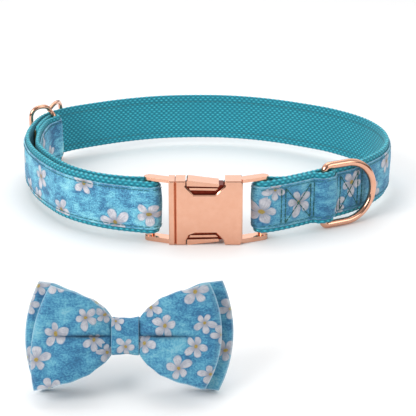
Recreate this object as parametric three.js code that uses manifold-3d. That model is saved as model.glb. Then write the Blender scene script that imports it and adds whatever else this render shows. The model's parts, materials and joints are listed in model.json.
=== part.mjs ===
// A pet collar with a detachable bow tie, at its real size.
// Millimetres, +Z up. The collar stands on the edge of its strap, fastened, its buckle towards -Y,
// and the bow tie stands on its lower corners in front of it.
import * as THREE from 'three';
import { mergeVertices } from 'three/addons/utils/BufferGeometryUtils.js';
import Module from 'manifold-3d';

const wasm = await Module();
wasm.setup();

// ---------- driving dimensions ----------

const GAP = 0.3;                 // room left between pieces that touch

const WEBBING = { width: 25, thick: 1.8, bottom: 4.0 };
const STRIP = { width: 20.4, thick: 1.0 };

const BUCKLE = { height: 30.8, thick: 9.6, front: -80.5, edge: 0.5 };
const BODY = { left: -14.7, right: 15.7 };            // the female body along X
const PLATE = { left: -17.8, right: -15.0 };          // the male end plate along X
const CAVITY = { left: -16, right: 9, low: 4.6, high: 26.2, thick: 5.2 };
const PRONG = { thick: 4.6, tip: 6 };
const CROSSBAR = { radius: 2.2, sides: 16 };
const ARM = { width: 5.0, topFrom: 29.3, bottomTo: 2.2 };
const CAP_ROOM = 0.4;            // how far a crossbar runs into its arms
const BAR_ROOM = 0.4;            // room between a crossbar and the strap folded round it

const RING = { wire: 3.5, height: 32.8, depth: 31, corner: 2.6, swing: 7.5 };
const SLIDE = { wire: 2.2, height: 32.8, halfLength: 14, fromBuckle: 144 };
const FOLDED_END = 24;           // the strap's end, turned back round the slide's centre bar

// Distances along the strap from the right-hand crossbar.
const TUNNEL = { from: 25.4, to: 38.1, ramp: 4.0 };
const INNER_END = 56;            // where the strap's hidden end stops, behind the last stitching

const KNOT = { width: 9.8, height: 13.7, depth: 9.2, wall: 1.2, corner: 1.8 };
const BOW = { cloth: 1.2, x: -28.8, y: -215, leanBack: 24 };
const LOOP = { width: 7, height: 10, depth: 8.4, wall: 1.2, corner: 2.4, drop: 1.6 };

// The strap's plan: the outer face of the webbing, from the right-hand crossbar round the back
// of the neck to the left-hand crossbar.
const PLAN = [
  { x: 27.0, y: -75.6 },
  { x: 36.0, y: -71.4 },
  { x: 52.8, y: -60.4 },
  { x: 72.2, y: -45.6 },
  { x: 87.0, y: -24.4 },
  { x: 91.4, y: 0.0 },
  { x: 85.1, y: 24.9 },
  { x: 69.8, y: 44.9 },
  { x: 50.6, y: 58.5 },
  { x: 31.5, y: 68.3 },
  { x: 11.9, y: 73.9 },
  { x: -7.9, y: 75.0 },
  { x: -27.5, y: 73.0 },
  { x: -46.5, y: 66.8 },
  { x: -64.0, y: 57.8 },
  { x: -78.0, y: 48.4 },
  { x: -88.3, y: 35.6 },
  { x: -92.3, y: 17.6 },
  { x: -92.6, y: -2.8 },
  { x: -87.8, y: -22.0 },
  { x: -78.6, y: -40.8 },
  { x: -66.4, y: -57.4 },
  { x: -48.3, y: -69.9 },
  { x: -28.0, y: -76.6 },
];

// The inner layer on the left, from the crossbar back to the slide: how far the middle of its
// webbing lies inside the outer face of the strap.
const INNER_LEFT = [
  { along: 0, inset: 7.9 },
  { along: 12, inset: 6.0 },
  { along: 30, inset: 5.0 },
  { along: 90, inset: 5.0 },
  { along: 106, inset: 6.4 },
  { along: 132, inset: 6.4 },
  { along: 144, inset: 8.9 },
];

// The inner layer on the right, from the crossbar to the strap's hidden end.
const INNER_RIGHT = [
  { along: 0, inset: 7.8 },
  { along: 12, inset: 3.0 },
  { along: 56, inset: 3.0 },
];

// A bow's outline: its half height at each distance out from the middle of the knot.
const BOW_OUTLINE = [
  { out: 0.0, half: 5.0 },
  { out: 4.9, half: 5.3 },
  { out: 6.4, half: 7.8 },
  { out: 9.0, half: 10.3 },
  { out: 13.0, half: 13.0 },
  { out: 20.0, half: 15.9 },
  { out: 27.0, half: 18.2 },
  { out: 38.0, half: 19.6 },
];

// How far a bow's two panels stand from its middle plane, and that plane from the knot's.
const BOW_DEPTH = [
  { out: 0.0, half: 0.9, lean: 1.7 },
  { out: 5.2, half: 0.9, lean: 1.7 },
  { out: 10.0, half: 1.9, lean: 2.8 },
  { out: 18.0, half: 2.5, lean: 3.5 },
  { out: 27.0, half: 1.9, lean: 3.2 },
  { out: 38.0, half: 1.2, lean: 2.9 },
];

// The wings' reach from the middle of the knot at their upper corner, middle and lower corner.
const WINGS = {
  bow_front: {
    left: { top: 25.5, middle: 31.6, bottom: 31.0 },
    right: { top: 28.9, middle: 33.0, bottom: 27.3 },
  },
  bow_back: {
    left: { top: 30.7, middle: 35.3, bottom: 31.0 },
    right: { top: 33.4, middle: 37.2, bottom: 32.1 },
  },
};
const CREASE = { depth: 0.8, width: 0.16, reach: 26 };
const PINCH = 0.9;               // half the distance between a bow's panels inside the knot

// Where the bows' surfaces are worked out: heights, distances out of the knot in millimetres,
// and then shares of what is left of the wing.
const BOW_HEIGHTS = [-1, -0.85, -0.5, -0.15, 0, 0.15, 0.5, 0.85, 1];
const KNOT_STATIONS = [5.0, 5.8, 7.4, 10.0];
const WING_STATIONS = [0.2, 0.45, 0.7, 0.88, 0.97, 1];

// ---------- materials ----------

const finish = (color, roughness, metalness = 0) =>
  new THREE.MeshStandardMaterial({ color, roughness, metalness });
const TEAL = finish(0x2fa5b4, 0.85);
const PRINT = finish(0x5cb0d8, 0.8);
const ROSE_GOLD = finish(0xe8b496, 0.2, 1);
const ELASTIC = finish(0x2a8fa0, 0.9);

// ---------- small helpers ----------

const mesh = (name, geometry, material) => {
  const made = new THREE.Mesh(geometry, material);
  made.name = name;
  return made;
};

// A smooth value between the rows of a table, read from one named column against another.
function lookUp(table, key, column, at) {
  const last = table.length - 1;
  let row = table.findIndex((entry) => entry[key] >= at) - 1;
  row = at >= table[last][key] ? last - 1 : Math.max(row, 0);
  const [low, high] = [table[row], table[row + 1]];
  const part = THREE.MathUtils.clamp((at - low[key]) / (high[key] - low[key]), 0, 1);
  return THREE.MathUtils.lerp(low[column], high[column], THREE.MathUtils.smoothstep(part, 0, 1) * 0.5 + part * 0.5);
}

function toSolid(geometry) {
  const bare = geometry.clone();
  bare.deleteAttribute('normal');
  bare.deleteAttribute('uv');
  const welded = mergeVertices(bare, 1e-4);
  return new wasm.Manifold(new wasm.Mesh({
    numProp: 3,
    vertProperties: new Float32Array(welded.attributes.position.array),
    triVerts: new Uint32Array(welded.index.array),
  }));
}

function toGeometry(solid) {
  const { vertProperties, triVerts } = solid.getMesh();
  const geometry = new THREE.BufferGeometry();
  geometry.setAttribute('position', new THREE.BufferAttribute(new Float32Array(vertProperties), 3));
  geometry.setIndex(new THREE.BufferAttribute(new Uint32Array(triVerts), 1));
  return geometry;
}

const join = (...geometries) => toGeometry(geometries.map(toSolid).reduce((sum, next) => sum.add(next)));
const cut = (geometry, ...tools) => toGeometry(tools.map(toSolid).reduce((rest, tool) => rest.subtract(tool), toSolid(geometry)));

// A plate whose outline is drawn in X and Z, as thick as it is deep in Y.
function facingPlate(outline, thick, frontY, edge = 0) {
  const geometry = new THREE.ExtrudeGeometry(new THREE.Shape(outline), {
    depth: thick - 2 * edge,
    bevelEnabled: edge > 0,
    bevelSize: edge,
    bevelOffset: -edge,
    bevelThickness: edge,
    bevelSegments: 1,
  });
  geometry.rotateX(Math.PI / 2);
  geometry.translate(0, frontY + thick - edge, 0);
  return geometry;
}

// A plate whose outline is drawn in X and Y, from one height to another.
function layingPlate(shape, from, to) {
  const geometry = new THREE.ExtrudeGeometry(shape, { depth: to - from, bevelEnabled: false });
  return geometry.translate(0, 0, from);
}

function disc(radius, sides) {
  const points = [];
  for (let side = 0; side < sides; side += 1) {
    const angle = (side + 0.5) * 2 * Math.PI / sides;
    points.push(new THREE.Vector2(radius * Math.cos(angle), radius * Math.sin(angle)));
  }
  return new THREE.Shape(points);
}

const block = (x0, x1, y0, y1, z0, z1) =>
  new THREE.BoxGeometry(x1 - x0, y1 - y0, z1 - z0).translate((x0 + x1) / 2, (y0 + y1) / 2, (z0 + z1) / 2);

// ---------- the strap's plan ----------

const plan = new THREE.SplineCurve(PLAN.map((station) => new THREE.Vector2(station.x, station.y)));
plan.arcLengthDivisions = 2000;
const STRAP_LENGTH = plan.getLength();

const travel = (along) => plan.getTangentAt(THREE.MathUtils.clamp(along / STRAP_LENGTH, 0, 1));

// The point at a distance along the plan, moved in towards the neck.
function inside(along, inset) {
  const point = plan.getPointAt(THREE.MathUtils.clamp(along / STRAP_LENGTH, 0, 1));
  const forward = travel(along);
  return new THREE.Vector2(point.x - forward.y * inset, point.y + forward.x * inset);
}

const crossbarInset = WEBBING.thick + BAR_ROOM + CROSSBAR.radius;
const rightCrossbar = inside(0, crossbarInset);
const leftCrossbar = inside(STRAP_LENGTH, crossbarInset);

const slideAt = STRAP_LENGTH - SLIDE.fromBuckle;
const slideBarInset = 2 * WEBBING.thick + STRIP.thick + 3 * GAP + SLIDE.wire / 2;
const slideBar = inside(slideAt, slideBarInset);

const ringBarAt = (TUNNEL.from + TUNNEL.to) / 2;
const ringBarInset = WEBBING.thick - RING.wire / 2;
const ringBar = inside(ringBarAt, ringBarInset);

// How far the outer layer stands out over the ring's bar.
function tunnelBulge(along) {
  const up = THREE.MathUtils.smoothstep(along, TUNNEL.from, TUNNEL.from + TUNNEL.ramp);
  const down = 1 - THREE.MathUtils.smoothstep(along, TUNNEL.to - TUNNEL.ramp, TUNNEL.to);
  return (RING.wire + GAP) * Math.min(up, down);
}

// Points half way round a bar, turning left, without the first and last.
function roundBar(centre, radius, startAngle) {
  const points = [];
  for (let step = 1; step < 6; step += 1) {
    const angle = startAngle + step * Math.PI / 6;
    points.push(new THREE.Vector2(centre.x + radius * Math.cos(angle), centre.y + radius * Math.sin(angle)));
  }
  return points;
}

const range = (from, to, step) => {
  const count = Math.max(1, Math.round(Math.abs(to - from) / step));
  return Array.from({ length: count + 1 }, (_, index) => from + (to - from) * index / count);
};

// The middle line of the webbing from its hidden right-hand end to its end at the slide.
function strapRoute() {
  const half = WEBBING.thick / 2;
  const bend = CROSSBAR.radius + BAR_ROOM + half;
  const slideBend = SLIDE.wire / 2 + GAP + half;
  const awayFromNeck = (along) => Math.atan2(-travel(along).x, travel(along).y);
  const innerRight = [...range(INNER_END, 12, 6), ...range(9, 0, 3)]
    .map((along) => inside(along, lookUp(INNER_RIGHT, 'along', 'inset', along)));
  const outer = [...range(0, 18, 6), ...range(TUNNEL.from - 1, TUNNEL.to + 1, 1.6), ...range(46, STRAP_LENGTH, 7.5)]
    .map((along) => inside(along, half - tunnelBulge(along)));
  const innerLeft = range(0, SLIDE.fromBuckle, 6)
    .map((back) => inside(STRAP_LENGTH - back, lookUp(INNER_LEFT, 'along', 'inset', back)));
  const turnedBack = range(0, FOLDED_END, 6)
    .map((forward) => inside(slideAt + forward, slideBarInset - slideBend));
  return [
    ...innerRight,
    ...roundBar(rightCrossbar, bend, awayFromNeck(0) + Math.PI),
    ...outer,
    ...roundBar(leftCrossbar, bend, awayFromNeck(STRAP_LENGTH)),
    ...innerLeft,
    ...roundBar(slideBar, slideBend, awayFromNeck(slideAt) + Math.PI),
    ...turnedBack,
  ];
}

// A ribbon standing on edge along the route, between two distances to the side that carries
// the print.
function ribbon(route, from, to, bottom, width) {
  const near = [];
  const far = [];
  route.forEach((point, index) => {
    const before = route[Math.max(index - 1, 0)];
    const after = route[Math.min(index + 1, route.length - 1)];
    const forward = after.clone().sub(before).normalize();
    const side = new THREE.Vector2(forward.y, -forward.x);
    near.push(point.clone().addScaledVector(side, from));
    far.push(point.clone().addScaledVector(side, to));
  });
  return layingPlate(new THREE.Shape([...far, ...near.reverse()]), bottom, bottom + width);
}

function webbing(route) {
  const half = WEBBING.thick / 2;
  return mesh('webbing', ribbon(route, -half, half, WEBBING.bottom, WEBBING.width), TEAL);
}

function printedStrip(route) {
  const from = WEBBING.thick / 2 + GAP;
  const bottom = WEBBING.bottom + (WEBBING.width - STRIP.width) / 2;
  return mesh('printed_strip', ribbon(route, from, from + STRIP.thick, bottom, STRIP.width), PRINT);
}

// ---------- the buckle ----------

// An arm in plan: a straight bar from the buckle to a round end about the crossbar.
function armShape(from, to) {
  const direction = Math.atan2(to.y - from.y, to.x - from.x);
  const half = ARM.width / 2;
  const points = [];
  for (const angle of range(-90, 90, 30)) {
    const turn = direction + THREE.MathUtils.degToRad(angle);
    points.push(new THREE.Vector2(to.x + half * Math.cos(turn), to.y + half * Math.sin(turn)));
  }
  for (const angle of [90, -90]) {
    const turn = direction + THREE.MathUtils.degToRad(angle);
    points.push(new THREE.Vector2(from.x + half * Math.cos(turn), from.y + half * Math.sin(turn)));
  }
  return new THREE.Shape(points);
}

function armsAndBar(from, bar) {
  const arm = armShape(from, bar);
  const rod = new THREE.ExtrudeGeometry(disc(CROSSBAR.radius, CROSSBAR.sides), {
    depth: ARM.topFrom - ARM.bottomTo + 2 * CAP_ROOM,
    bevelEnabled: false,
  });
  rod.translate(bar.x, bar.y, ARM.bottomTo - CAP_ROOM);
  return [layingPlate(arm, 0, ARM.bottomTo), layingPlate(arm, ARM.topFrom, BUCKLE.height), rod];
}

const buckleMiddle = BUCKLE.front + BUCKLE.thick / 2;

// The female body, seen from the front: a square with a wide notch in its top and bottom edges,
// where the release buttons are pressed.
function buckleFemale() {
  const top = BUCKLE.height;
  const { left, right } = BODY;
  const outline = [
    [left, 0], [-10.2, 0], [-10.0, 2.4], [-8.6, 4.6], [-5.8, 5.7], [3.7, 5.7], [6.9, 2.6], [7.8, 0],
    [right - 1, 0], [right, 1.6], [right, top - 0.8], [right - 0.6, top],
    [7.7, top], [7.5, top - 2.4], [3.2, top - 6.6], [-6.6, top - 6.6], [-10.2, top - 2.4], [-10.2, top],
    [left, top],
  ].map(([x, z]) => new THREE.Vector2(x, z));
  const body = facingPlate(outline, BUCKLE.thick, BUCKLE.front, BUCKLE.edge);
  const pocketFront = buckleMiddle - CAVITY.thick / 2;
  const pocket = block(CAVITY.left, CAVITY.right, pocketFront, pocketFront + CAVITY.thick, CAVITY.low, CAVITY.high);
  const root = new THREE.Vector2(BODY.right - 1, buckleMiddle - 0.4);
  return mesh('buckle_female', join(cut(body, pocket), ...armsAndBar(root, rightCrossbar)), ROSE_GOLD);
}

// One prong with its button, seen from the front, at the top or bottom of the buckle.
function prong(upper) {
  const outline = [
    [PLATE.right - 0.5, 22.4], [PRONG.tip, 22.4], [PRONG.tip, 24.0], [3.0, 25.8], [4.9, 27.2], [5.0, 28.7],
    [-9.3, 30.5], [-9.3, 28.6], [-7.6, 25.8], [PLATE.right - 0.5, 25.8],
  ].map(([x, z]) => new THREE.Vector2(x, upper ? z : BUCKLE.height - z));
  return facingPlate(outline, PRONG.thick, buckleMiddle - PRONG.thick / 2);
}

function buckleMale() {
  const outline = [
    [PLATE.left, 0], [PLATE.right, 0], [PLATE.right, BUCKLE.height], [PLATE.left, BUCKLE.height],
  ].map(([x, z]) => new THREE.Vector2(x, z));
  const plate = facingPlate(outline, BUCKLE.thick, BUCKLE.front, BUCKLE.edge);
  const root = new THREE.Vector2(PLATE.left + 1, buckleMiddle - 0.4);
  return mesh('buckle_male', join(plate, prong(true), prong(false), ...armsAndBar(root, leftCrossbar)), ROSE_GOLD);
}

// ---------- the D-ring ----------

// A closed D of round wire. Its straight side is the hinge, in the tunnel of the strap.
function dRing() {
  const half = RING.wire / 2;
  const reach = RING.depth - RING.wire;
  const low = half;
  const high = RING.height - half;
  const bow = (high - low) / 2;
  const path = [];
  const arc = (d, z, radius, from, to, step) => range(from, to, step).forEach((angle) => {
    const turn = THREE.MathUtils.degToRad(angle);
    path.push(new THREE.Vector2(d + radius * Math.cos(turn), z + radius * Math.sin(turn)));
  });
  range(high - RING.corner, low + RING.corner, 6).slice(1, -1).forEach((z) => path.push(new THREE.Vector2(0, z)));
  arc(RING.corner, low + RING.corner, RING.corner, 180, 270, 30);
  arc(reach - bow, low + bow, bow, -90, 90, 15);
  arc(RING.corner, high - RING.corner, RING.corner, 90, 180, 30);
  const forward = travel(ringBarAt);
  const lie = Math.atan2(forward.y, forward.x) - THREE.MathUtils.degToRad(RING.swing);
  const curve = new THREE.CatmullRomCurve3(path.map((point) => new THREE.Vector3(
    ringBar.x + point.x * Math.cos(lie), ringBar.y + point.x * Math.sin(lie), point.y)), true, 'centripetal');
  return mesh('d_ring', new THREE.TubeGeometry(curve, 60, half, 10, true), ROSE_GOLD);
}

// ---------- the slide ----------

// Half of a window: from the centre bar's upper end out over the strap's edge to the end bar.
const RAIL = [
  { out: 0, inset: slideBarInset, z: 30.4 },
  { out: 0.28, inset: 5.4, z: 31.4 },
  { out: 0.55, inset: 2.6, z: 31.6 },
  { out: 0.82, inset: -0.8, z: 31.1 },
  { out: 0.97, inset: -2.7, z: 29.4 },
  { out: 1, inset: -2.9, z: 26.0 },
  { out: 1, inset: -2.9, z: 19.0 },
];

function slide() {
  const half = SLIDE.wire / 2;
  const windowRail = (way) => {
    const point = (row, z) => {
      const place = inside(slideAt + way * row.out * SLIDE.halfLength, row.inset);
      return new THREE.Vector3(place.x, place.y, z);
    };
    const upper = RAIL.map((row) => point(row, row.z));
    const lower = RAIL.map((row) => point(row, SLIDE.height - row.z)).reverse();
    return new THREE.ExtrudeGeometry(disc(half, 8), {
      steps: 28,
      bevelEnabled: false,
      extrudePath: new THREE.CatmullRomCurve3([...upper, ...lower], false, 'centripetal'),
    });
  };
  const bar = layingPlate(disc(half * 1.05, 8), SLIDE.height - 31.3, 31.3).translate(slideBar.x, slideBar.y, 0);
  return mesh('slide', join(bar, windowRail(1), windowRail(-1)), ROSE_GOLD);
}

// ---------- the bow tie ----------

// A closed band of cloth: rows of points round a loop, given at each height, made into a wall
// with an outer face, an inner face and two edges.
function clothLoop(rows, cloth) {
  const around = rows[0].length;
  const positions = [];
  const indices = [];
  for (const offset of [cloth / 2, -cloth / 2]) {
    for (const row of rows) {
      row.forEach((point, index) => {
        const before = row[(index + around - 1) % around];
        const after = row[(index + 1) % around];
        const length = Math.hypot(after.x - before.x, after.y - before.y);
        const outX = (after.y - before.y) / length;
        const outY = -(after.x - before.x) / length;
        positions.push(point.x + outX * offset, point.y + outY * offset, point.z);
      });
    }
  }
  const at = (face, row, index) => (face * rows.length + row) * around + (index % around);
  const quad = (a, b, c, d) => indices.push(a, b, c, a, c, d);
  for (let index = 0; index < around; index += 1) {
    for (let row = 0; row < rows.length - 1; row += 1) {
      quad(at(0, row, index), at(0, row, index + 1), at(0, row + 1, index + 1), at(0, row + 1, index));
      quad(at(1, row, index + 1), at(1, row, index), at(1, row + 1, index), at(1, row + 1, index + 1));
    }
    const last = rows.length - 1;
    quad(at(1, 0, index), at(1, 0, index + 1), at(0, 0, index + 1), at(0, 0, index));
    quad(at(0, last, index), at(0, last, index + 1), at(1, last, index + 1), at(1, last, index));
  }
  const geometry = new THREE.BufferGeometry();
  geometry.setAttribute('position', new THREE.Float32BufferAttribute(positions, 3));
  geometry.setIndex(indices);
  geometry.computeVertexNormals();
  return geometry;
}

// The wing's reach at a height, from -1 at its lower corner to 1 at its upper one.
function reachAt(wing, height) {
  const slope = (wing.top - wing.bottom) / 2;
  const bend = (wing.top + wing.bottom) / 2 - wing.middle;
  return wing.middle + slope * height + bend * height * height;
}

// A bow: one loop of cloth whose ends are folds, pinched flat in the middle, with a crease
// running out from the knot on each wing.
function bow(name, side) {
  const { left, right } = WINGS[name];
  const panelPoint = (x, reach, height, face) => {
    const out = Math.abs(x);
    const fold = Math.min(1, 0.02 + 0.9 * Math.sqrt(Math.max(0, reach - out)));
    const fade = 1 - Math.min(1, out / CREASE.reach);
    const crease = CREASE.depth * fade * Math.exp(-((height / CREASE.width) ** 2));
    const open = lookUp(BOW_DEPTH, 'out', 'half', out) - PINCH;
    const half = (PINCH + open * (1 - 0.5 * height ** 4) * (1 - crease)) * fold;
    return {
      x,
      y: side * lookUp(BOW_DEPTH, 'out', 'lean', out) + face * half,
      z: height * lookUp(BOW_OUTLINE, 'out', 'half', out),
    };
  };
  const rows = BOW_HEIGHTS.map((height) => {
    const place = (wing, way) => {
      const reach = reachAt(wing, height);
      const last = KNOT_STATIONS.at(-1);
      const stations = [...KNOT_STATIONS, ...WING_STATIONS.map((part) => last + (reach - last) * part)];
      return stations.map((out) => ({ x: way * out, reach }));
    };
    const across = [...place(left, -1).reverse(), { x: 0, reach: left.middle }, ...place(right, 1)];
    const front = across.map(({ x, reach }) => panelPoint(x, reach, height, -1));
    const back = across.slice(1, -1).reverse().map(({ x, reach }) => panelPoint(x, reach, height, 1));
    return [...front, ...back];
  });
  return mesh(name, clothLoop(rows, BOW.cloth), PRINT);
}

// A band wound about the X axis: a rounded frame, drawn in Y and Z.
function bandAcross(name, size, centreY, centreZ, material) {
  const frame = (depth, height, corner) => {
    const points = [];
    for (const [index, [signY, signZ]] of [[1, 1], [-1, 1], [-1, -1], [1, -1]].entries()) {
      for (const angle of range(index * 90, index * 90 + 90, 30)) {
        const turn = THREE.MathUtils.degToRad(angle);
        points.push(new THREE.Vector2(
          signY * (depth / 2 - corner) + corner * Math.cos(turn),
          signZ * (height / 2 - corner) + corner * Math.sin(turn)));
      }
    }
    return points;
  };
  const shape = new THREE.Shape(frame(size.depth, size.height, size.corner));
  const hole = frame(size.depth - 2 * size.wall, size.height - 2 * size.wall, size.corner - size.wall);
  shape.holes.push(new THREE.Path(hole.reverse()));
  const geometry = new THREE.ExtrudeGeometry(shape, { depth: size.width, bevelEnabled: false });
  geometry.rotateY(Math.PI / 2);
  geometry.rotateX(Math.PI / 2);
  geometry.translate(-size.width / 2, centreY, centreZ);
  return mesh(name, geometry, material);
}

// The bow tie leans back on its lower corners.
function bowTie() {
  const tie = new THREE.Group();
  tie.add(bow('bow_front', -1));
  tie.add(bow('bow_back', 1));
  tie.add(bandAcross('bow_knot', KNOT, 0, 0, PRINT));
  tie.add(bandAcross('bow_loop', LOOP, KNOT.depth / 2 + GAP + LOOP.depth / 2, -LOOP.drop, ELASTIC));
  tie.rotation.x = -THREE.MathUtils.degToRad(BOW.leanBack);
  const lowest = new THREE.Box3().setFromObject(tie, true).min.z;
  tie.position.set(BOW.x, BOW.y, -lowest);
  return tie;
}

// ---------- the whole ----------

const collar = new THREE.Group();
const route = strapRoute();
collar.add(webbing(route), printedStrip(route), buckleFemale(), buckleMale(), dRing(), slide(), bowTie());
collar.updateMatrixWorld(true);

// The origin is under the middle of the whole.
const extent = new THREE.Box3().setFromObject(collar, true);
const centre = extent.getCenter(new THREE.Vector3());
collar.position.set(-centre.x, -centre.y, -extent.min.z);

export default collar;
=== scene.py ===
# %% [markdown]
# # A pet collar and its bow tie
#
# The frame holds the rigid, measured model: a strap folded round the bars of a buckle and a
# slide, a leash ring that swings, and a bow tie standing in front. This lesson dresses it.
# Each cloth piece is replaced by a surface worked out with numpy, and each metal piece gets
# rounder edges and a polished finish. Lengths in the drawing are millimetres, as a maker
# would cut them, and turn into metres when a mesh is made.

# %% Load the frame
import json
import math

import bmesh
import bpy
import numpy as np
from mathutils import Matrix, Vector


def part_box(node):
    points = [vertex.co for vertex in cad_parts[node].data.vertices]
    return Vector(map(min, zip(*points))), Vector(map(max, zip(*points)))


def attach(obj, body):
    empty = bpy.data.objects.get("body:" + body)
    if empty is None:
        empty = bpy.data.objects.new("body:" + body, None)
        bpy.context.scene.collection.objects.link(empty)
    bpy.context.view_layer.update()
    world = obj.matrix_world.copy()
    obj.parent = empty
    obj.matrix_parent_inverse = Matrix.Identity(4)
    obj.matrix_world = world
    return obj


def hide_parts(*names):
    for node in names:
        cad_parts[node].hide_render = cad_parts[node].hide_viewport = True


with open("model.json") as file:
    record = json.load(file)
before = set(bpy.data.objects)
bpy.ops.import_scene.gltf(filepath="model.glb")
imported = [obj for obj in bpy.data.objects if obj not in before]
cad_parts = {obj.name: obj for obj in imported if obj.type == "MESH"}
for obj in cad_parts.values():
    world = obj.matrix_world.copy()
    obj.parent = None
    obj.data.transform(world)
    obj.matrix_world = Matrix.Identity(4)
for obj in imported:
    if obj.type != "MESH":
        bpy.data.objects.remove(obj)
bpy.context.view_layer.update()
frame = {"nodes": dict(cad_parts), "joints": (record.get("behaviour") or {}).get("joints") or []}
MM = 0.001

# %% [markdown]
# ## The camera
#
# A product picture of a small object is taken with a long lens from some way off, so that
# the near and far sides of the collar stay close in size. The camera looks level along +Y
# and is tipped down by about 20 degrees. It is made first, because it needs nothing else.

# %% Camera
LENS_MM = 107.8
CAMERA_AT = (0.0015, -0.5333, 0.2144)
TIP_DOWN = math.radians(20.37)

camera = bpy.data.objects.new("camera", bpy.data.cameras.new("camera"))
camera.data.lens = LENS_MM
camera.data.sensor_width = 36
camera.data.clip_start = 0.01
camera.location = CAMERA_AT
camera.rotation_euler = (math.pi / 2 - TIP_DOWN, 0, 0)
bpy.context.collection.objects.link(camera)
bpy.context.scene.camera = camera
bpy.context.scene.view_settings.view_transform = "Standard"
print("camera at", CAMERA_AT, "with a lens of", LENS_MM, "mm")

# %% [markdown]
# ## Turning a grid of points into a piece
#
# Nearly every piece here is a grid: rows along the cloth, columns round its section. Joining
# each point to its neighbours gives the faces, and the columns close on themselves to make a
# band or a tube. The same grid carries the cloth coordinates, kept for each corner of each
# face, so that a closed band has no smeared seam.

# %% Grid helper
def cells(rows, columns):
    """The row and column numbers of a grid's quads; the last column joins the first."""
    return np.meshgrid(np.arange(rows - 1), np.arange(columns), indexing="ij")


def grid_faces(rows, columns):
    """Quads over a band of rows x columns points, closed round its columns."""
    row, column = cells(rows, columns)
    beside = (column + 1) % columns
    corners = [row * columns + column, row * columns + beside,
               (row + 1) * columns + beside, (row + 1) * columns + column]
    return np.stack(corners, axis=-1).reshape(-1, 4)


def corner_values(grid):
    """A grid's values at each quad's four corners; it has one column more than the band's points."""
    row, column = cells(grid.shape[0], grid.shape[1] - 1)
    corners = [grid[row, column], grid[row, column + 1], grid[row + 1, column + 1], grid[row + 1, column]]
    return np.stack(corners, axis=2).reshape(-1, 4, grid.shape[-1])


def pairs(first, second):
    """Two arrays, stretched over each other, as one grid of pairs."""
    return np.stack(np.broadcast_arrays(first, second), axis=-1)


def band_ends(rows, columns):
    """The corner numbers of the two flat ends that close a band into a solid strip."""
    return [range(columns)[::-1], range((rows - 1) * columns, rows * columns)]


def place_mesh(mesh):
    """Puts a mesh in the scene as an object of the same name."""
    piece = bpy.data.objects.new(mesh.name, mesh)
    bpy.context.collection.objects.link(piece)
    print(f"{mesh.name}: {len(mesh.polygons)} faces")
    return piece


def make_piece(name, points, faces, ends=()):
    """A smooth-shaded object from points in metres, its quads, and end caps of any length."""
    mesh = bpy.data.meshes.new(name)
    mesh.from_pydata(points.reshape(-1, 3).tolist(), [], faces.tolist() + [list(end) for end in ends])
    mesh.polygons.foreach_set("use_smooth", np.ones(len(mesh.polygons), dtype=bool))
    mesh.update()
    return place_mesh(mesh)


def set_uv(piece, name, values):
    """Writes one UV map from values per corner; faces after the quads get zeros."""
    layer = piece.data.uv_layers.new(name=name)
    flat = np.zeros((len(piece.data.loops), 2))
    flat[:values.shape[0] * 4] = values.reshape(-1, 2)
    layer.data.foreach_set("uv", flat.ravel())


def dress(piece, material, body="collar"):
    """Gives a piece its material and the body that it moves with."""
    piece.data.materials.clear()
    piece.data.materials.append(material)
    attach(piece, body)
    return piece

# %% [markdown]
# ## Node helpers
#
# A material is a small graph. These helpers write its arithmetic in one line each: a math
# step, a smooth step, a mix of two colours and a cloud of noise. Colours are given as a
# paint chart gives them, from 0 to 255, and are turned into the linear light of the shader.

# %% Node helpers
def paint(red, green, blue):
    """Chart colour to linear light: the display curve undone on each channel."""
    share = np.array([red, green, blue]) / 255
    linear = np.where(share <= 0.04045, share / 12.92, ((share + 0.055) / 1.055) ** 2.4)
    return (*linear.tolist(), 1.0)


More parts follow.
